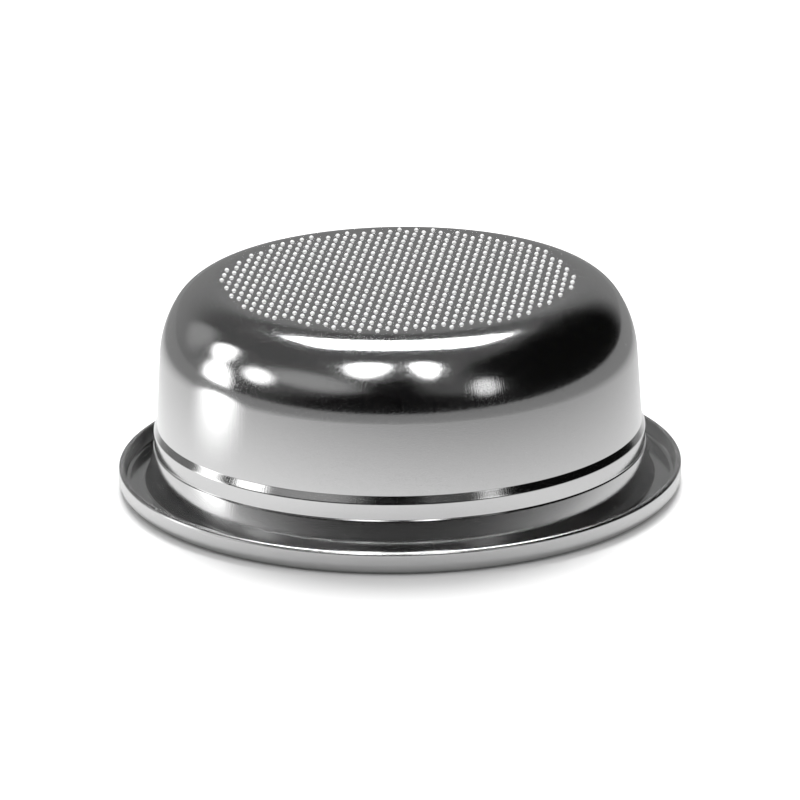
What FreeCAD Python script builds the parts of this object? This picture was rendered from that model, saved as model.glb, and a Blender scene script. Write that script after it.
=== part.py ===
"""Espresso filter basket, standing on its rim with the perforated base up, as it is stored and sold.

One stainless sheet is drawn into a cup. Its base is punched with a square lattice of tapered holes, and its edge
is turned out into a flange whose lip curls back towards the base. Z runs up the axis and the origin is the centre
of the rim's footprint. Lengths are millimetres and angles are degrees.
"""

import FreeCAD
import Part
import Sketcher

import os
from math import acos, atan2, cos, degrees, floor, hypot, pi, radians, sin, tan

NODE = "filter_basket"

# Alias, value and meaning of every driving size.
SIZES = (
    ("sheet", 0.75, "thickness of the steel"),
    ("overall_height", 26.0, "floor to the outer face of the base"),
    ("base_flat_radius", 22.2, "flat part of the base"),
    ("corner_radius", 6.3, "curve from the base into the shoulder"),
    ("corner_turn", 57.3, "angle that this curve turns through"),
    ("shoulder_radius", 12.8, "longer curve from there into the wall"),
    ("wall_end_radius", 30.09, "foot of the tapered wall"),
    ("wall_end_height", 8.25, "height of that edge"),
    ("collar_radius", 30.5, "collar that the holder's spring grips"),
    ("collar_top", 7.35, "upper edge of the collar"),
    ("collar_bottom", 5.4, "crease under the collar"),
    ("crease_ledge", 0.1, "small ledge at the crease"),
    ("flange_draft", 11.0, "lean of the wall between crease and flange"),
    ("flange_bend", 0.5, "bend from wall to flange, made as one flat across its arc"),
    ("lip_bend", 0.6, "bend from flange to lip, made in the same way"),
    ("lip_height", 2.9, "floor to the cut edge of the lip"),
    ("lip_chamfer", 0.25, "deburring of the lip's outer edge"),
    ("rim_diameter", 70.0, "outside of the lip"),
    ("hole_pitch", 1.523, "spacing of the holes along a row"),
    ("hole_mouth", 0.62, "side of a hole at the base's outer face"),
    ("hole_throat", 0.36, "side of a hole at the base's inner face"),
    ("field_radius", 21.75, "circle that holds the centre of every hole"),
    ("field_turn", 38.45, "angle between the rows of holes and X"),
    ("punch_reach", 0.2, "how far the punch goes past both faces"),
)

START = 1
END = 2
ORIGIN_POINT = -1
VERTICAL_AXIS = -2

# The real base has every hole of the lattice. The solid has one in two along each row, which keeps its faces few.
HOLE_SHARE = 2

SAME_PLACE = 1e-4
VOLUME_ERROR = 0.02


def make_sheet(doc):
    """The spreadsheet that holds the driving sizes."""
    sheet = doc.addObject("Spreadsheet::Sheet", "sizes")
    for row, (alias, value, meaning) in enumerate(SIZES, start=1):
        sheet.set(f"A{row}", meaning)
        sheet.set(f"B{row}", str(value))
        sheet.setAlias(f"B{row}", alias)
    doc.recompute()
    return sheet


def on_circle(centre, radius, angle):
    return centre[0] + radius * cos(radians(angle)), centre[1] + radius * sin(radians(angle))


def first_shape(size):
    """Lines and arcs of the section's outer side, from the axis to the lip, as (radius, height) values.

    The arcs are (centre, radius, start angle, end angle), counter-clockwise. The wall is the tangent from its
    foot to the shoulder's circle. The flange's bends are a few tenths of a millimetre, so each is one flat that joins
    the ends of its arc.
    """
    lip_side = size.rim_diameter / 2 - size.sheet
    base_edge = (size.base_flat_radius, size.overall_height)
    corner_end = 90 - size.corner_turn
    corner_centre = (base_edge[0], base_edge[1] - size.corner_radius)
    corner_foot = on_circle(corner_centre, size.corner_radius, corner_end)
    shoulder_centre = on_circle(corner_foot, -size.shoulder_radius, corner_end)

    wall_foot = (size.wall_end_radius, size.wall_end_height)
    across = wall_foot[0] - shoulder_centre[0]
    down = wall_foot[1] - shoulder_centre[1]
    taper = degrees(atan2(down, across) + acos(size.shoulder_radius / hypot(across, down)))
    wall_top = on_circle(shoulder_centre, size.shoulder_radius, taper)

    collar_top = (size.collar_radius, size.collar_top)
    crease = (size.collar_radius, size.collar_bottom)
    ledge = (crease[0] + size.crease_ledge, crease[1] - size.crease_ledge)
    draft = radians(size.flange_draft)
    drop = ledge[1] - size.sheet
    bend_run = size.flange_bend * tan((pi / 2 - draft) / 2)
    fold = (ledge[0] + drop * tan(draft), size.sheet)
    bend_top = (fold[0] - bend_run * sin(draft), fold[1] + bend_run * cos(draft))
    flange_start = (fold[0] + bend_run, size.sheet)
    flange_end = (lip_side - size.lip_bend, size.sheet)
    lip_start = (lip_side, size.sheet + size.lip_bend)
    return (
        ("base", (0, size.overall_height), base_edge),
        ("corner", corner_centre, size.corner_radius, corner_end, 90),
        ("shoulder", shoulder_centre, size.shoulder_radius, taper, corner_end),
        ("wall", wall_top, wall_foot),
        ("step", wall_foot, collar_top),
        ("collar", collar_top, crease),
        ("ledge", crease, ledge),
        ("skirt", ledge, bend_top),
        ("flange_bend", bend_top, flange_start),
        ("flange", flange_start, flange_end),
        ("lip_bend", flange_end, lip_start),
        ("lip", lip_start, (lip_side, size.lip_height)),
    )


def to_geometry(item):
    """A sketch line from (name, start, end), or an arc from (name, centre, radius, start, end)."""
    if len(item) == 3:
        start, end = item[1:]
        return Part.LineSegment(FreeCAD.Vector(*start, 0), FreeCAD.Vector(*end, 0))
    centre, radius, start, end = item[1:]
    circle = Part.Circle(FreeCAD.Vector(*centre, 0), FreeCAD.Vector(0, 0, 1), radius)
    return Part.ArcOfCircle(circle, radians(start), radians(end))


def make_section(doc, sheet):
    """The open sketch of the basket's outer side, in the XZ plane."""
    sketch = doc.addObject("Sketcher::SketchObject", "section")
    sketch.Placement = FreeCAD.Placement(FreeCAD.Vector(), FreeCAD.Rotation(FreeCAD.Vector(1, 0, 0), 90))
    ids = {item[0]: sketch.addGeometry(to_geometry(item)) for item in first_shape(sheet)}

    def relate(kind, *where):
        sketch.addConstraint(Sketcher.Constraint(kind, *where))

    def drive(name, kind, *where, by, value):
        index = sketch.addConstraint(Sketcher.Constraint(kind, *where, value))
        sketch.renameConstraint(index, name)
        sketch.setExpression(f"Constraints.{name}", by)

    def drive_flat(name, across_by, across, down_by, down):
        drive(f"{name}_across", "DistanceX", ids[name], START, ids[name], END, by=across_by, value=across)
        drive(f"{name}_down", "DistanceY", ids[name], END, ids[name], START, by=down_by, value=down)

    def drive_point(name, geometry, end, radius_by, radius, height_by, height):
        drive(f"{name}_r", "DistanceX", ORIGIN_POINT, START, ids[geometry], end, by=radius_by, value=radius)
        drive(f"{name}_z", "DistanceY", ORIGIN_POINT, START, ids[geometry], end, by=height_by, value=height)

    # The corner and shoulder arcs run counter-clockwise, so the sketch meets each one at its end first.
    relate("Tangent", ids["base"], END, ids["corner"], END)
    relate("Tangent", ids["corner"], START, ids["shoulder"], END)
    relate("Tangent", ids["shoulder"], START, ids["wall"], START)
    relate("Coincident", ids["wall"], END, ids["step"], START)
    relate("Coincident", ids["step"], END, ids["collar"], START)
    relate("Coincident", ids["collar"], END, ids["ledge"], START)
    relate("Coincident", ids["ledge"], END, ids["skirt"], START)
    relate("Coincident", ids["skirt"], END, ids["flange_bend"], START)
    relate("Coincident", ids["flange_bend"], END, ids["flange"], START)
    relate("Coincident", ids["flange"], END, ids["lip_bend"], START)
    relate("Coincident", ids["lip_bend"], END, ids["lip"], START)
    relate("PointOnObject", ids["base"], START, VERTICAL_AXIS)
    relate("Horizontal", ids["base"])
    relate("Horizontal", ids["flange"])
    relate("Vertical", ids["collar"])
    relate("Vertical", ids["lip"])

    drive_point("base_edge", "base", END, "sizes.base_flat_radius", sheet.base_flat_radius,
                "sizes.overall_height", sheet.overall_height)
    drive("corner_radius", "Radius", ids["corner"], by="sizes.corner_radius", value=sheet.corner_radius)
    drive("corner_turn", "Angle", ids["corner"], by="sizes.corner_turn * 1deg", value=radians(sheet.corner_turn))
    drive("shoulder_radius", "Radius", ids["shoulder"], by="sizes.shoulder_radius", value=sheet.shoulder_radius)
    drive_point("wall_foot", "wall", END, "sizes.wall_end_radius", sheet.wall_end_radius,
                "sizes.wall_end_height", sheet.wall_end_height)
    drive_point("collar_top", "step", END, "sizes.collar_radius", sheet.collar_radius,
                "sizes.collar_top", sheet.collar_top)
    drive("collar_bottom", "DistanceY", ORIGIN_POINT, START, ids["collar"], END,
          by="sizes.collar_bottom", value=sheet.collar_bottom)
    drive_point("ledge", "ledge", END, "sizes.collar_radius + sizes.crease_ledge",
                sheet.collar_radius + sheet.crease_ledge, "sizes.collar_bottom - sizes.crease_ledge",
                sheet.collar_bottom - sheet.crease_ledge)
    drive("skirt_lean", "Angle", ids["skirt"], by="(sizes.flange_draft - 90) * 1deg",
          value=radians(sheet.flange_draft - 90))
    draft = radians(sheet.flange_draft)
    drive_flat("flange_bend", "sizes.flange_bend * cos(sizes.flange_draft * 1deg)", sheet.flange_bend * cos(draft),
               "sizes.flange_bend * (1 - sin(sizes.flange_draft * 1deg))", sheet.flange_bend * (1 - sin(draft)))
    drive("flange_height", "DistanceY", ORIGIN_POINT, START, ids["flange"], END, by="sizes.sheet", value=sheet.sheet)
    drive_flat("lip_bend", "sizes.lip_bend", sheet.lip_bend, "-sizes.lip_bend", -sheet.lip_bend)
    drive_point("lip_edge", "lip", END, "sizes.rim_diameter / 2 - sizes.sheet",
                sheet.rim_diameter / 2 - sheet.sheet, "sizes.lip_height", sheet.lip_height)
    doc.recompute()
    return sketch


def make_cup(doc, section):
    """The section thickened to the sheet's inner side and turned about Z."""
    wall = doc.addObject("Part::Offset2D", "sheet_section")
    wall.Source = section
    wall.Mode = "Skin"
    wall.Join = "Intersection"
    wall.Fill = True
    wall.setExpression("Value", "-sizes.sheet")
    cup = doc.addObject("Part::Revolution", "drawn_cup")
    cup.Source = wall
    cup.Axis = FreeCAD.Vector(0, 0, 1)
    cup.Angle = 360
    cup.Solid = True
    doc.recompute()
    return cup


def deburr_lip(doc, cup, sheet):
    """The cup with its lip's outer edge broken."""
    rim_radius = sheet.rim_diameter / 2
    edges = [
        number
        for number, edge in enumerate(cup.Shape.Edges, start=1)
        if edge.Curve.TypeId == "Part::GeomCircle"
        and abs(edge.Curve.Radius - rim_radius) < SAME_PLACE
        and abs(edge.Curve.Center.z - sheet.lip_height) < SAME_PLACE
    ]
    lip = doc.addObject("Part::Chamfer", "deburred_cup")
    lip.Base = cup
    lip.Edges = [(number, sheet.lip_chamfer, sheet.lip_chamfer) for number in edges]
    doc.recompute()
    return lip


def make_punch(doc):
    """One square tapered punch, point down, with its mouth at the base's outer face."""
    punch = doc.addObject("Part::Wedge", "punch")
    slope = "(sizes.hole_mouth - sizes.hole_throat) / 2 / sizes.sheet * sizes.punch_reach"
    point = f"(sizes.hole_throat / 2 - {slope})"
    head = f"(sizes.hole_mouth / 2 + {slope})"
    for side in "XZ":
        punch.setExpression(f"{side}min", f"-{point}")
        punch.setExpression(f"{side}max", point)
        punch.setExpression(f"{side}2min", f"-{head}")
        punch.setExpression(f"{side}2max", head)
    punch.setExpression("Ymin", "-sizes.sheet - sizes.punch_reach")
    punch.setExpression("Ymax", "sizes.punch_reach")
    doc.recompute()
    return punch


def hole_centres(sheet):
    """The solid's share of the square lattice inside the field's circle, with one hole on the axis."""
    reach = floor(sheet.field_radius / sheet.hole_pitch)
    row, column = cos(radians(sheet.field_turn)), sin(radians(sheet.field_turn))
    centres = []
    for i in range(-reach, reach + 1):
        for j in range(-reach, reach + 1):
            if (i + j) % HOLE_SHARE == 0 and hypot(i, j) * sheet.hole_pitch <= sheet.field_radius:
                x = (i * row - j * column) * sheet.hole_pitch
                y = (i * column + j * row) * sheet.hole_pitch
                centres.append(FreeCAD.Vector(x, y, sheet.overall_height))
    return centres


def make_punches(doc, punch, sheet):
    """A copy of the punch at every hole, turned so that its sides follow the rows."""
    upright = FreeCAD.Rotation(FreeCAD.Vector(1, 0, 0), 90)
    turned = FreeCAD.Rotation(FreeCAD.Vector(0, 0, 1), sheet.field_turn)
    copies = []
    for centre in hole_centres(sheet):
        copy = punch.Shape.copy()
        copy.Placement = FreeCAD.Placement(centre, turned * upright)
        copies.append(copy)
    punches = doc.addObject("Part::Feature", "punches")
    punches.Shape = Part.Compound(copies)
    return punches


def punch_base(doc, cup, punches):
    """The finished basket."""
    basket = doc.addObject("Part::Cut", NODE)
    basket.Base = cup
    basket.Tool = punches
    basket.Label = NODE
    doc.recompute()
    return basket


def check(doc, basket, cup, punches, sheet):
    """Stop if an object failed, or if the punches didn't take out what they should."""
    for item in doc.Objects:
        if "Invalid" in item.State or "Error" in item.State:
            raise RuntimeError(f"{item.Name} failed: {item.State}")
    if basket.Shape.isNull() or not basket.Shape.isValid() or len(basket.Shape.Solids) != 1:
        raise RuntimeError("the basket is not one valid solid")
    mouth, throat = sheet.hole_mouth, sheet.hole_throat
    one_hole = sheet.sheet * (mouth**2 + mouth * throat + throat**2) / 3
    expected = one_hole * len(punches.Shape.Solids)
    removed = cup.Shape.Volume - basket.Shape.Volume
    if abs(removed - expected) > VOLUME_ERROR * expected:
        raise RuntimeError(f"the holes took out {removed:.2f} mm3, not {expected:.2f}")


def main():
    doc = FreeCAD.newDocument("basket")
    sheet = make_sheet(doc)
    section = make_section(doc, sheet)
    cup = deburr_lip(doc, make_cup(doc, section), sheet)
    punches = make_punches(doc, make_punch(doc), sheet)
    basket = punch_base(doc, cup, punches)
    check(doc, basket, cup, punches, sheet)
    os.makedirs("parts", exist_ok=True)
    basket.Shape.exportStep(f"parts/{basket.Label}.step")


main()
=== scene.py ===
"""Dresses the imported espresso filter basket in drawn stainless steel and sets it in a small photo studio.

Lengths in the code are metres. Sizes of the section are written in millimetres times MM.
"""

from math import acos, atan2, cos, hypot, pi, radians, sin, tan

import bpy
import numpy as np
from mathutils import Euler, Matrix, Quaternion, Vector
from mathutils.geometry import delaunay_2d_cdt


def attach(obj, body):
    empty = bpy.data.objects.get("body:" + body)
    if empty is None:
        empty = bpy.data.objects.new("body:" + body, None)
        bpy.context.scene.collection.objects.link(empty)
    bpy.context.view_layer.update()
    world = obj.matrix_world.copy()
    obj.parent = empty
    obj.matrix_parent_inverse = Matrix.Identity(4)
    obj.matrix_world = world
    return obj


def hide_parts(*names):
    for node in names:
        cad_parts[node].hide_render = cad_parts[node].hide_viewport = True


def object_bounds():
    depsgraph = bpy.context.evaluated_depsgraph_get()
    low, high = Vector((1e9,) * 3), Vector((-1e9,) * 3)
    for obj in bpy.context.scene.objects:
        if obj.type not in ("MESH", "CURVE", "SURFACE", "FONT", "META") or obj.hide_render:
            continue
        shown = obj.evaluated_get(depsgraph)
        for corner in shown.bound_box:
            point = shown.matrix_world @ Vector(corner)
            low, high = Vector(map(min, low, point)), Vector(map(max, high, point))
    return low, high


bl_info = {
    "name": "Filter Basket",
    "version": (1, 0, 0),
    "blender": (4, 5, 0),
    "location": "View3D > Sidebar > Basket",
    "description": "Builds the steel surface of an espresso filter basket and the studio around it",
    "category": "Object",
}

MM = 0.001
NODE = "filter_basket"
BODY = "root"

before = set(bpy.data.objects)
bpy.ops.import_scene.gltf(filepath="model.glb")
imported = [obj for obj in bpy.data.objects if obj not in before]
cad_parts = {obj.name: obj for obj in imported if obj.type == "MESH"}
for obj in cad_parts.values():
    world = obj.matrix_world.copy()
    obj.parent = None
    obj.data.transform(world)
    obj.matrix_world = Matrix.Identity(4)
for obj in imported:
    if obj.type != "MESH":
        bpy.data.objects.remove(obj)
CAD_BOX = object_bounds()
RIM_RADIUS = (CAD_BOX[1].x - CAD_BOX[0].x) / 2
HEIGHT = CAD_BOX[1].z - CAD_BOX[0].z


def length(name, default, description):
    """A length property in metres."""
    return bpy.props.FloatProperty(
        name=name, default=default, description=description, unit="LENGTH", precision=5
    )


def angle(name, degrees, description):
    """An angle property, with its default in degrees."""
    return bpy.props.FloatProperty(
        name=name, default=radians(degrees), description=description, subtype="ANGLE"
    )


def srgb(code):
    """Linear red, green, blue and alpha from an sRGB hex code."""
    parts = [int(code[i:i + 2], 16) / 255 for i in (1, 3, 5)]
    return tuple(c / 12.92 if c <= 0.04045 else ((c + 0.055) / 1.055) ** 2.4 for c in parts) + (1.0,)


def colour(name, code, description):
    """A colour property, with its default as an sRGB hex code."""
    return bpy.props.FloatVectorProperty(
        name=name, default=srgb(code), description=description, subtype="COLOR", size=4, min=0, max=1
    )


class BasketSizes(bpy.types.PropertyGroup):
    """Sizes of the steel sheet and its holes."""

    sheet: length("Sheet", 0.75 * MM, "Thickness of the steel")
    base_flat: length("Base flat", 22.2 * MM, "Radius of the flat part of the base")
    corner: length("Corner", 6.3 * MM, "Radius of the curve from the base into the shoulder")
    corner_turn: angle("Corner turn", 57.3, "Angle that the corner's curve turns through")
    shoulder: length("Shoulder", 12.8 * MM, "Radius of the longer curve into the wall")
    wall_foot: length("Wall foot", 30.09 * MM, "Radius of the wall at its foot")
    wall_foot_height: length("Wall foot height", 8.25 * MM, "Height of the wall's foot")
    collar: length("Collar", 30.5 * MM, "Radius of the collar")
    collar_top: length("Collar top", 7.35 * MM, "Height of the collar's upper edge")
    collar_bottom: length("Collar bottom", 5.4 * MM, "Height of the crease under the collar")
    ledge: length("Ledge", 0.1 * MM, "Width and height of the ledge at the crease")
    draft: angle("Skirt draft", 11.0, "Lean of the skirt between crease and flange")
    flange_bend: length("Flange bend", 0.5 * MM, "Radius of the bend from skirt to flange")
    lip_bend: length("Lip bend", 0.6 * MM, "Radius of the bend from flange to lip")
    lip_height: length("Lip height", 2.9 * MM, "Height of the lip's cut edge")
    hole_pitch: length("Hole pitch", 1.523 * MM, "Spacing of the holes along a row")
    field: length("Hole field", 21.75 * MM, "Radius of the circle that holds every hole's centre")
    field_turn: angle("Row angle", 38.45, "Angle between the rows of holes and X")


class BasketFinish(bpy.types.PropertyGroup):
    """Colours of the steel and of the floor."""

    steel: colour("Steel", "#C8C8C8", "Polished stainless steel")
    punched: colour("Punched steel", "#FCFCFC", "Matt steel that the punch has raised round each hole")
    floor: colour("Floor", "#F2F2F2", "Floor under the basket")


# Section of the sheet


def unit(vector):
    """The vector at length 1."""
    return vector / np.hypot(*vector)


def offset_corners(corners, distance):
    """Corners of the line that runs at a distance to the right of another one.

    Each inner corner moves along the bisector of its two runs by distance / cos(half the turn), and each end
    moves straight to the right.
    """
    runs = np.diff(corners, axis=0)
    runs /= np.linalg.norm(runs, axis=1, keepdims=True)
    right = np.column_stack((runs[:, 1], -runs[:, 0]))
    middle = right[:-1] + right[1:]
    middle *= (2 / (middle**2).sum(1))[:, None]
    return corners + distance * np.vstack((right[:1], middle, right[-1:]))


def outer_corners(size):
    """Corners of the outer side as (radius, height), from the axis to the lip's edge.

    The base, the line where the two curves meet and the wall are straight lines: the corner and the shoulder
    round the two places where those lines cross. The wall is the shoulder circle's tangent from the wall's
    foot.
    """
    meet = pi / 2 - size.corner_turn
    corner_centre = np.array((size.base_flat, HEIGHT - size.corner))
    away = np.array((cos(meet), sin(meet)))
    meeting = corner_centre + size.corner * away
    shoulder_centre = meeting - size.shoulder * away
    foot = np.array((size.wall_foot, size.wall_foot_height))
    across, down = foot - shoulder_centre
    taper = atan2(down, across) + acos(size.shoulder / hypot(across, down))
    slope = np.array((sin(meet), -cos(meet)))
    first = np.array((size.base_flat + size.corner * tan(size.corner_turn / 2), HEIGHT))
    second = meeting + slope * size.shoulder * tan((meet - taper) / 2)

    ledge_height = size.collar_bottom - size.ledge
    ledge_radius = size.collar + size.ledge
    fold = ledge_radius + (ledge_height - size.sheet) * tan(size.draft)
    lip_side = RIM_RADIUS - size.sheet
    return np.array((
        (0, HEIGHT),
        first,
        second,
        foot,
        (size.collar, size.collar_top),
        (size.collar, size.collar_bottom),
        (ledge_radius, ledge_height),
        (fold, size.sheet),
        (lip_side, size.sheet),
        (lip_side, size.lip_height),
    ))


CURVE_ERROR = 0.003 * MM
LONGEST_RUN = 2.5 * MM
SUPPORT = 0.12 * MM
SAME_PLACE = 0.0001 * MM


def arc(before, corner, after, radius):
    """Points that round one corner.

    With turn t, the arc starts radius * tan(t / 2) before the corner. Each point is the centre less the
    radius times the side vector, turned by an angle from 0 to t.
    """
    ahead, onward = unit(corner - before), unit(after - corner)
    turn = atan2(ahead[0] * onward[1] - ahead[1] * onward[0], ahead @ onward)
    side = np.sign(turn) * np.array((-ahead[1], ahead[0]))
    centre = corner - ahead * radius * tan(abs(turn) / 2) + side * radius
    steps = max(3, int(np.ceil(abs(turn) / (2 * acos(1 - CURVE_ERROR / radius)))))
    swept = np.linspace(0, turn, steps + 1)
    turned = np.outer(np.cos(swept), side) + np.outer(np.sin(swept), (-side[1], side[0]))
    return centre - radius * turned


def run_points(start, end):
    """Points inside a straight run: one near each end, so that the shading stays flat, and even ones between.
    """
    long = np.hypot(*(end - start))
    if long < 4 * SUPPORT:
        return np.empty((0, 2))
    inner = np.linspace(SUPPORT, long - SUPPORT, max(2, int(np.ceil(long / LONGEST_RUN)) + 1))
    return start + np.outer(inner / long, end - start)


def round_corners(corners, radii):
    """The polyline with each inner corner rounded and its straight runs divided, without its two ends.

    Where two arcs meet, their shared point is kept once.
    """
    arcs = [arc(*corners[i:i + 3], radius) for i, radius in enumerate(radii)]
    outline = [arcs[0]]
    for last, following in zip(arcs, arcs[1:]):
        outline += [run_points(last[-1], following[0]), following]
    points = np.vstack(outline)
    steps = np.hypot(*np.diff(points, axis=0).T)
    return points[np.append(True, steps > SAME_PLACE)]


def sheet_section(size):
    """The closed section between the two flat discs of the base, as (radius, height), outer side first.

    The radii go with the corners in turn: down the outer side, round the lip and back up the inner side.
    """
    outer = outer_corners(size)
    inner = offset_corners(outer, size.sheet)
    lip_edge = (RIM_RADIUS, size.lip_height)
    foot = (RIM_RADIUS, 0)
    corners = np.vstack((outer, lip_edge, foot, inner[-3::-1]))
    softened = 0.1 * MM
    pressed = 0.5 * MM
    eased = 0.4 * MM
    radii = (
        size.corner,
        size.shoulder,
        softened,
        pressed,
        softened,
        softened,
        size.flange_bend,
        size.lip_bend,
        softened,
        eased,
        size.lip_bend + size.sheet,
        size.flange_bend + size.sheet,
        softened,
        softened,
        pressed,
        pressed,
        size.shoulder - size.sheet,
        size.corner - size.sheet,
    )
    return round_corners(corners, radii)


# Meshes

SEGMENTS = 256
SHARP_ANGLE = radians(50)


def grid_faces(first, rows, columns):
    """Quads between neighbouring rows of a grid whose rows close on themselves.

    Vertex (i, j) has number first[i] + j, and the corners run (i, j), (i + 1, j), (i + 1, j + 1), (i, j + 1).
    """
    i = np.asarray(first)[:rows, None]
    j = np.arange(columns)[None, :]
    following = (j + 1) % columns
    below, above = i[:-1], i[1:]
    return np.stack((below + j, above + j, above + following, below + following), -1).reshape(-1, 4)


def turned_wall(section):
    """Vertices and faces of the section turned about Z.

    A section point (r, z) gives (r cos a, r sin a, z) at each angle a.
    """
    around = np.linspace(0, 2 * pi, SEGMENTS, endpoint=False)
    r, z = section[:, :1], section[:, 1:]
    vertices = np.stack((r * np.cos(around), r * np.sin(around), z + 0 * around), -1).reshape(-1, 3)
    faces = grid_faces(np.arange(len(section)) * SEGMENTS, len(section), SEGMENTS)
    return vertices, faces


HOLE_SIDES = 10
# Section of one hole as (radius, height above the outer face) in millimetres. The punch comes from inside and
# lifts a small blunt cone, the nipple: its side, its crown, the hole's mouth and the throat.
HOLE_SECTION = ((0.29, 0.0), (0.25, 0.12), (0.17, 0.22), (0.11, 0.25), (0.1, 0.15), (0.1, -0.75))
NIPPLE_START = 0.01 * MM
NIPPLE_FULL = 0.03 * MM


def hole_cells(size):
    """Lattice numbers (i, j) of the holes inside the field's circle."""
    reach = int(size.field / size.hole_pitch)
    i, j = np.mgrid[-reach:reach + 1, -reach:reach + 1]
    inside = np.hypot(i, j) * size.hole_pitch <= size.field
    return np.column_stack((i[inside], j[inside]))


def hole_rings(size):
    """Points of every hole, by hole, ring and number round the ring, as an array of that shape.

    Hole (i, j) stands at the pitch times (i, j), turned by the row angle. Point k of a ring lies at the angle
    2 pi k / HOLE_SIDES, with the ring's radius and height from the hole's section.
    """
    c, s = cos(size.field_turn), sin(size.field_turn)
    centres = hole_cells(size) @ np.array(((c, s), (-s, c))) * size.hole_pitch
    around = np.arange(HOLE_SIDES) * 2 * pi / HOLE_SIDES
    circle = np.column_stack((np.cos(around), np.sin(around)))
    radius, above = np.array(HOLE_SECTION).T * MM
    flat = centres[:, None, None, :] + radius[None, :, None, None] * circle[None, None, :, :]
    height = np.broadcast_to((HEIGHT + above)[None, :, None, None], flat.shape[:3] + (1,))
    return np.concatenate((flat, height), -1)


def fill_disc(circles, rim):
    """Triangles of a flat disc with holes, their fronts up.

    Corners are numbered through the holes' circles and then on through the rim. The Delaunay triangles whose
    three corners lie on one hole's circle are that hole's own, and are left out.
    """
    holes, sides = circles.shape[:2]
    points = np.vstack((circles.reshape(-1, 2), rim))
    numbers = np.arange(holes * sides).reshape(holes, sides)
    rim_numbers = holes * sides + np.arange(len(rim))
    edges = np.column_stack((numbers.ravel(), np.roll(numbers, -1, axis=1).ravel()))
    rim_edges = np.column_stack((rim_numbers, np.roll(rim_numbers, -1)))
    borders = np.vstack((edges, rim_edges)).tolist()
    inside_only, closeness = 1, 1e-6
    found = delaunay_2d_cdt([Vector(p) for p in points / MM], borders, [], inside_only, closeness)
    order = np.array([source[0] for source in found[3]])
    triangles = order[np.array(found[2])]
    if len(order) != len(points):
        raise RuntimeError("the disc gained or lost a point when it was filled")
    owner = np.where(triangles < holes * sides, triangles // sides, -1)
    inside = (owner[:, 0] >= 0) & (owner == owner[:, :1]).all(axis=1)
    return triangles[~inside]


def perforated_base(size, wall, last):
    """Vertices and faces of the flat base: both discs, and the holes' own strips between them.

    The discs end on the first and the last ring of the turned wall, whose vertices come before the base's.
    """
    rings = hole_rings(size)
    holes, levels = rings.shape[:2]
    own = len(wall) + np.arange(rings[..., 0].size).reshape(holes, levels, HOLE_SIDES)
    upper, lower = own[:, :-1], own[:, 1:]
    strips = np.stack((upper, np.roll(upper, -1, axis=2), np.roll(lower, -1, axis=2), lower), -1)
    around = np.arange(SEGMENTS)
    above = np.concatenate((own[:, 0].ravel(), around))
    below = np.concatenate((own[:, -1].ravel(), last + around))
    outer_disc = above[fill_disc(rings[:, 0, :, :2], wall[around, :2])]
    inner_disc = below[fill_disc(rings[:, -1, :, :2], wall[last + around, :2])]
    return rings.reshape(-1, 3), [strips.reshape(-1, 4), outer_disc, inner_disc[:, ::-1]]


def make_mesh(name, vertices, faces):
    """A mesh from an array of points and a list of face arrays, each with one number of corners."""
    mesh = bpy.data.meshes.new(name)
    loops = np.concatenate([group.ravel() for group in faces])
    totals = np.concatenate([np.full(len(group), group.shape[1]) for group in faces])
    mesh.vertices.add(len(vertices))
    mesh.vertices.foreach_set("co", vertices.astype(np.float32).ravel())
    mesh.loops.add(len(loops))
    mesh.loops.foreach_set("vertex_index", loops.astype(np.int32))
    mesh.polygons.add(len(totals))
    mesh.polygons.foreach_set("loop_start", (np.cumsum(totals) - totals).astype(np.int32))
    mesh.update(calc_edges=True)
    mesh.validate()
    mesh.shade_smooth()
    mesh.set_sharp_from_angle(angle=SHARP_ANGLE)
    return mesh


# Materials


def add_node(tree, kind, inputs=None, **settings):
    """A node with its settings. Each input is a value or another node's output."""
    node = tree.nodes.new(kind)
    for name, value in settings.items():
        setattr(node, name, value)
    for socket, value in (inputs or {}).items():
        if isinstance(value, bpy.types.NodeSocket):
            tree.links.new(value, node.inputs[socket])
        else:
            node.inputs[socket].default_value = value
    return node


def math_node(tree, operation, *values):
    """Output of a Math node on those values."""
    return add_node(tree, "ShaderNodeMath", dict(enumerate(values)), operation=operation).outputs[0]


def vector_node(tree, operation, *values):
    """A Vector Math node on those values."""
    return add_node(tree, "ShaderNodeVectorMath", dict(enumerate(values)), operation=operation)


def ramp(tree, value, start, end, low=0.0, high=1.0, smooth=False):
    """Output of a node that maps start to end onto low to high, and holds the ends."""
    inputs = {"Value": value, "From Min": start, "From Max": end, "To Min": low, "To Max": high}
    shape = "SMOOTHSTEP" if smooth else "LINEAR"
    return add_node(tree, "ShaderNodeMapRange", inputs, interpolation_type=shape).outputs["Result"]


def mix(tree, factor, first, second, **settings):
    """Output of a node that goes from the first value to the second."""
    inputs = {"Factor": factor, "A": first, "B": second}
    return add_node(tree, "ShaderNodeMix", inputs, **settings).outputs["Result"]


def empty_material(name):
    """A new material without nodes, and its tree."""
    material = bpy.data.materials.new(name)
    material.use_nodes = True
    material.node_tree.nodes.clear()
    return material, material.node_tree


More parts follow.
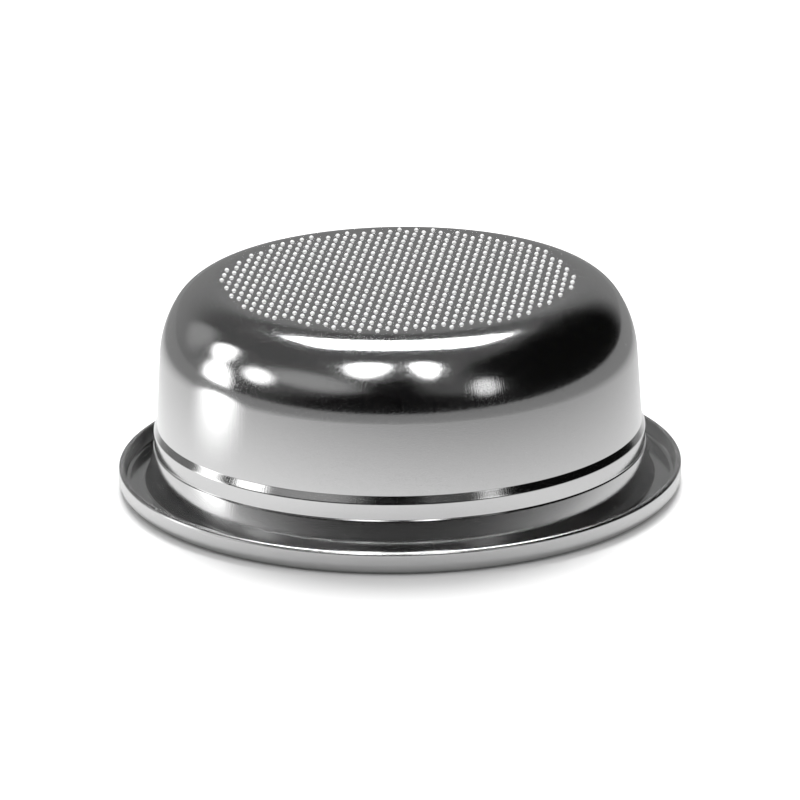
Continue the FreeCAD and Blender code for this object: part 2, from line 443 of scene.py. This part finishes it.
STREAK_WIDTH = 0.22 * MM
STREAK_LENGTH = 9 * MM
STREAK_DEPTH = 0.01 * MM
STREAK_STRENGTH = 0.5
STREAK_FULL = HEIGHT - 6 * MM
STREAK_END = HEIGHT - 2 * MM
GRAIN = 0.15 * MM
GRAIN_DEPTH = 0.005 * MM
GRAIN_STRENGTH = 0.5
NOISE_DETAIL = 2.0
BEST_POLISH = 0.04
WORST_POLISH = 0.09
PIT_START = 0.42
PIT_FULL = 0.7
PIT_ROUGHNESS = 0.16
DULL_TOP = 5.0 * MM
DULL_FADE = 0.3 * MM
DULL_ROUGHNESS = 0.13
LIP_START = RIM_RADIUS - 0.8 * MM
LIP_FADE = 0.1 * MM
LIP_ROUGHNESS = 0.26
NIPPLE_ROUGHNESS = 0.45
NIPPLE_GLOSS = 0.2


def draw_streaks(tree, x, y, z):
    """Noise in the steel's own roll-out: (angle * rim radius / streak width, height / streak length)."""
    around = math_node(tree, "MULTIPLY", math_node(tree, "ARCTAN2", y, x), RIM_RADIUS / STREAK_WIDTH)
    along = math_node(tree, "MULTIPLY", z, 1 / STREAK_LENGTH)
    rolled_out = add_node(tree, "ShaderNodeCombineXYZ", {"X": around, "Y": along}).outputs[0]
    inputs = {"Vector": rolled_out, "Scale": 1.0, "Detail": NOISE_DETAIL}
    return add_node(tree, "ShaderNodeTexNoise", inputs).outputs["Fac"]


def steel_relief(tree, z, grain, streaks):
    """Normal with the sheet's grain, and with the streaks below the base's edge."""
    grained = add_node(
        tree, "ShaderNodeBump", {"Strength": GRAIN_STRENGTH, "Distance": GRAIN_DEPTH, "Height": grain}
    ).outputs["Normal"]
    strength = ramp(tree, z, STREAK_FULL, STREAK_END, STREAK_STRENGTH, 0.0)
    return add_node(tree, "ShaderNodeBump", {
        "Strength": strength, "Distance": STREAK_DEPTH, "Height": streaks, "Normal": grained,
    }).outputs["Normal"]


def steel_roughness(tree, place, z, grain, streaks, punched):
    """Roughness of the polished wall and base, then of the duller skirt, the satin lip and the nipples."""
    polish = ramp(tree, streaks, 0, 1, BEST_POLISH, WORST_POLISH)
    pits = ramp(tree, grain, PIT_START, PIT_FULL, 0, PIT_ROUGHNESS)
    polished = math_node(tree, "ADD", polish, pits)
    drawn = ramp(tree, z, DULL_TOP, DULL_TOP + DULL_FADE, DULL_ROUGHNESS, polished)
    flat = vector_node(tree, "MULTIPLY", place, (1, 1, 0)).outputs[0]
    radius = vector_node(tree, "LENGTH", flat).outputs["Value"]
    rolled_edge = ramp(tree, radius, LIP_START, LIP_START + LIP_FADE, drawn, LIP_ROUGHNESS)
    return mix(tree, punched, rolled_edge, NIPPLE_ROUGHNESS)


def steel_material(finish):
    """Polished stainless steel, deep drawn: a soft mirror with fine grain and faint lines down the wall.

    The draw drags the sheet down the die, which leaves lines that run from the base to the rim. The rolled
    sheet's fine pits remain, so highlights have a slightly granular edge. The polishing wheel reaches the
    wall better than the skirt, and the rolled lip stays satin. The punch leaves the nipples matt and pale.
    """
    material, tree = empty_material("drawn_stainless_steel")
    place = add_node(tree, "ShaderNodeTexCoord").outputs["Object"]
    x, y, z = add_node(tree, "ShaderNodeSeparateXYZ", {"Vector": place}).outputs
    streaks = draw_streaks(tree, x, y, z)
    inputs = {"Vector": place, "Scale": 1 / GRAIN, "Detail": NOISE_DETAIL}
    grain = add_node(tree, "ShaderNodeTexNoise", inputs).outputs["Fac"]
    punched = ramp(tree, z, HEIGHT + NIPPLE_START, HEIGHT + NIPPLE_FULL)
    shader = add_node(tree, "ShaderNodeBsdfPrincipled", {
        "Base Color": mix(tree, punched, finish.steel, finish.punched, data_type="RGBA"),
        "Metallic": mix(tree, punched, 1.0, NIPPLE_GLOSS),
        "Roughness": steel_roughness(tree, place, z, grain, streaks, punched),
        "Normal": steel_relief(tree, z, grain, streaks),
    })
    add_node(tree, "ShaderNodeOutputMaterial", {"Surface": shader.outputs["BSDF"]})
    return material


# Stage

# What the steel mirrors, as cards on a dome, each painted over those before it: name, azimuth and elevation
# of its middle, half width and half height, all in degrees, edge softness, radiance, and 4 for a square or 2
# for an oval. Azimuth 0 is on the front side and 90 to the right.
CARDS = (
    ("back_wall", 180, 4, 80, 24, 0.9, 0.26, 2),
    ("right_dark", 98, 23, 48, 33, 0.6, 0.004, 4),
    ("front_dark", 0, 6, 66, 13, 0.6, 0.008, 2),
    ("front_black", -5, 12, 22, 17, 0.8, 0.004, 2),
    ("front_gap", -2, 28, 11, 11, 0.8, 0.004, 2),
    ("front_left_haze", -46, 27, 22, 8, 0.9, 0.42, 2),
    ("overhead_box", 180, 70, 19, 13, 0.6, 14.0, 4),
    ("front_box_left", -20, 50, 8, 11, 0.98, 6.0, 2),
    ("front_box_right", 17, 50, 5, 12, 0.98, 6.0, 2),
    ("front_right_lamp", 43, 20, 6, 8, 0.98, 1.3, 2),
    ("left_lamp_back", -102, 23, 7, 8, 0.95, 3.6, 2),
    ("left_lamp_front", -74, 19, 8, 6, 0.95, 2.8, 2),
    ("left_strip", -97, 4, 9, 11, 0.95, 3.5, 2),
    ("left_glow", -126, 19, 10, 12, 0.9, 0.4, 2),
)
DOME_LEVEL = 0.1
SKY_LEVEL = 0.9
CARD_FADE = 0.2
SQUARE = 4


def paint_card(tree, direction, below, azimuth, elevation, wide, high, soft, level, power):
    """One card over what lies below it.

    In the card's own axes the direction is (u, v): the card covers u to the power p plus v to the power p
    under 1, where u and v are sines divided by those of the card's half sizes. Its edge fades over the
    softness. The same sines come back on the far side of the dome, so the card is kept to directions that
    face its middle.
    """
    turned = Euler((radians(90 + elevation), 0, radians(180 + azimuth)))
    toward = turned.to_matrix() @ Vector((0, 0, -1))
    ahead = vector_node(tree, "DOT_PRODUCT", direction, toward).outputs["Value"]
    facing = ramp(tree, ahead, 0, CARD_FADE, smooth=True)
    depthless = 1e6
    half_size = (sin(radians(wide)), sin(radians(high)), depthless)
    own = add_node(
        tree, "ShaderNodeMapping", {"Vector": direction, "Rotation": turned[:], "Scale": half_size},
        vector_type="TEXTURE",
    ).outputs[0]
    if power == SQUARE:
        own = vector_node(tree, "MULTIPLY", own, own).outputs[0]
    reach = vector_node(tree, "DOT_PRODUCT", own, own).outputs["Value"]
    covered = ramp(tree, reach, 1 + soft, 1 - soft, 0, facing, smooth=True)
    return mix(tree, covered, below, level)


def make_world():
    """A plain white sky for the camera and the floor, and the dim studio for what the steel mirrors."""
    world = bpy.data.worlds.new("studio")
    world.use_nodes = True
    world.cycles.sampling_method = "NONE"
    tree = world.node_tree
    tree.nodes.clear()
    direction = add_node(tree, "ShaderNodeTexCoord").outputs["Generated"]
    level = DOME_LEVEL
    for _, *card in CARDS:
        level = paint_card(tree, direction, level, *card)
    mirrored = add_node(tree, "ShaderNodeLightPath").outputs["Is Glossy Ray"]
    strength = mix(tree, mirrored, SKY_LEVEL, level)
    background = add_node(tree, "ShaderNodeBackground", {"Color": (1, 1, 1, 1), "Strength": strength})
    add_node(tree, "ShaderNodeOutputWorld", {"Surface": background.outputs[0]})
    bpy.context.scene.world = world


# Painted light in the floor's colour, seen in reflections: a pool round the basket, a spill at the left.
POOL_PLACE = (-12 * MM, -10 * MM, 0)
POOL_NEAR = 38 * MM
POOL_FAR = 130 * MM
PAINTED_POOL_LEVEL = 0.64
PAINTED_POOL_FAR_LEVEL = 0.16
SPILL_SHAPE = (0.6, 1.3, 1.0)
SPILL_PLACE = (-78 * MM, -16 * MM, 0)
SPILL_REACH = 46 * MM
PAINTED_SPILL_LEVEL = 2.0
SEEN_LEVEL = 0.86


def floor_material(finish):
    """Matt white paper. The camera sees it evenly white.

    The steel mirrors painted light in the paper's colour, which the camera doesn't see: a painted pool of
    light around the basket, which dims with the distance from its middle, and a painted oval spill of
    brighter light at
    the left: its distance is taken after the shape has scaled the place.
    """
    material, tree = empty_material("white_paper_painted_pool")
    place = add_node(tree, "ShaderNodeTexCoord").outputs["Object"]
    # Painted pool and spill of light: the colour is brightened near the basket and at the left.
    away = vector_node(tree, "DISTANCE", place, POOL_PLACE).outputs["Value"]
    painted_pool = ramp(tree, away, POOL_NEAR, POOL_FAR, PAINTED_POOL_LEVEL, PAINTED_POOL_FAR_LEVEL)
    scaled = vector_node(tree, "MULTIPLY", place, SPILL_SHAPE).outputs[0]
    beside = vector_node(tree, "DISTANCE", scaled, SPILL_PLACE).outputs["Value"]
    painted_spill = ramp(tree, beside, 0, SPILL_REACH, PAINTED_SPILL_LEVEL, 0.0, smooth=True)
    seen = add_node(tree, "ShaderNodeLightPath").outputs["Is Camera Ray"]
    level = mix(tree, seen, math_node(tree, "ADD", painted_pool, painted_spill), SEEN_LEVEL)
    shade = add_node(
        tree, "ShaderNodeVectorMath", {0: finish.floor[:3], "Scale": level}, operation="SCALE"
    ).outputs[0]
    paper = add_node(tree, "ShaderNodeBsdfDiffuse", {"Color": shade})
    add_node(tree, "ShaderNodeOutputMaterial", {"Surface": paper.outputs[0]})
    return material


def show(name, mesh, material):
    """A new object at the origin with that mesh and material."""
    mesh.materials.append(material)
    piece = bpy.data.objects.new(name, mesh)
    bpy.context.scene.collection.objects.link(piece)
    return piece


# Operators


class OBJECT_OT_add_filter_basket(bpy.types.Operator):
    """Add the basket's drawn and perforated sheet as one closed surface"""

    bl_idname = "object.add_filter_basket"
    bl_label = "Add Filter Basket"

    def execute(self, context):
        size = context.scene.basket_sizes
        section = sheet_section(size)
        wall, wall_faces = turned_wall(section)
        last = (len(section) - 1) * SEGMENTS
        base, base_faces = perforated_base(size, wall, last)
        mesh = make_mesh("basket", np.vstack((wall, base)), [wall_faces] + base_faces)
        basket = show("basket", mesh, steel_material(context.scene.basket_finish))
        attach(basket, BODY)
        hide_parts(NODE)
        return {"FINISHED"}


BACK_LIGHT = 4.9
BACK_LIGHT_ELEVATION = 52
BACK_LIGHT_SPREAD = 34
CAMERA_DISTANCE = 570.1 * MM
CAMERA_ELEVATION = 19.255
CAMERA_ROLL = -0.739
CAMERA_SHIFT = 0.001
AIM_HEIGHT = 10.3 * MM
SENSOR = 36.0
LENS = 205.65
FLOOR_REACH = 3.0


class SCENE_OT_set_basket_studio(bpy.types.Operator):
    """Set the floor, the light that the steel mirrors and the camera"""

    bl_idname = "scene.set_basket_studio"
    bl_label = "Set Basket Studio"

    def execute(self, context):
        make_world()
        self.lay_floor(context)
        self.hang_light(context)
        self.place_camera(context)
        context.scene.view_settings.view_transform = "Standard"
        return {"FINISHED"}

    def lay_floor(self, context):
        """A square of paper under the basket."""
        mesh = bpy.data.meshes.new("floor")
        reach = FLOOR_REACH
        corners = [(-reach, -reach, 0), (reach, -reach, 0), (reach, reach, 0), (-reach, reach, 0)]
        mesh.from_pydata(corners, [], [(0, 1, 2, 3)])
        show("floor", mesh, floor_material(context.scene.basket_finish))

    def hang_light(self, context):
        """A broad light high behind the basket, which throws its soft shadow forward on the floor."""
        data = bpy.data.lights.new("back_light", "SUN")
        data.energy = BACK_LIGHT
        data.angle = radians(BACK_LIGHT_SPREAD)
        light = bpy.data.objects.new("back_light", data)
        light.visible_glossy = False
        light.rotation_euler = (radians(BACK_LIGHT_ELEVATION - 90), 0, 0)
        context.scene.collection.objects.link(light)

    def place_camera(self, context):
        """A long lens in front of the basket and a little above it."""
        data = bpy.data.cameras.new("camera")
        data.sensor_width = SENSOR
        data.lens = LENS
        data.shift_x = CAMERA_SHIFT
        camera = bpy.data.objects.new("camera", data)
        context.scene.collection.objects.link(camera)
        rise = radians(CAMERA_ELEVATION)
        camera.location = (0, -CAMERA_DISTANCE * cos(rise), CAMERA_DISTANCE * sin(rise))
        look = Vector((0, 0, AIM_HEIGHT)) - camera.location
        camera.rotation_mode = "QUATERNION"
        roll = Quaternion((0, 0, 1), radians(CAMERA_ROLL))
        camera.rotation_quaternion = look.to_track_quat("-Z", "Y") @ roll
        context.scene.camera = camera


class VIEW3D_PT_basket(bpy.types.Panel):
    """Sizes, finish and the buttons that build the scene"""

    bl_label = "Filter Basket"
    bl_space_type = "VIEW_3D"
    bl_region_type = "UI"
    bl_category = "Basket"

    def draw(self, context):
        layout = self.layout
        for group in (context.scene.basket_sizes, context.scene.basket_finish):
            box = layout.box()
            for name in group.__annotations__:
                box.prop(group, name)
        layout.operator(OBJECT_OT_add_filter_basket.bl_idname)
        layout.operator(SCENE_OT_set_basket_studio.bl_idname)


CLASSES = (
    BasketSizes,
    BasketFinish,
    OBJECT_OT_add_filter_basket,
    SCENE_OT_set_basket_studio,
    VIEW3D_PT_basket,
)


def register():
    """Register the classes and give each scene its sizes and colours."""
    for item in CLASSES:
        bpy.utils.register_class(item)
    bpy.types.Scene.basket_sizes = bpy.props.PointerProperty(type=BasketSizes)
    bpy.types.Scene.basket_finish = bpy.props.PointerProperty(type=BasketFinish)


def unregister():
    """Take the properties and classes away again."""
    del bpy.types.Scene.basket_finish
    del bpy.types.Scene.basket_sizes
    for item in reversed(CLASSES):
        bpy.utils.unregister_class(item)


def main():
    """Build the basket and its studio."""
    register()
    bpy.ops.object.add_filter_basket()
    bpy.ops.scene.set_basket_studio()


if __name__ == "__main__":
    main()
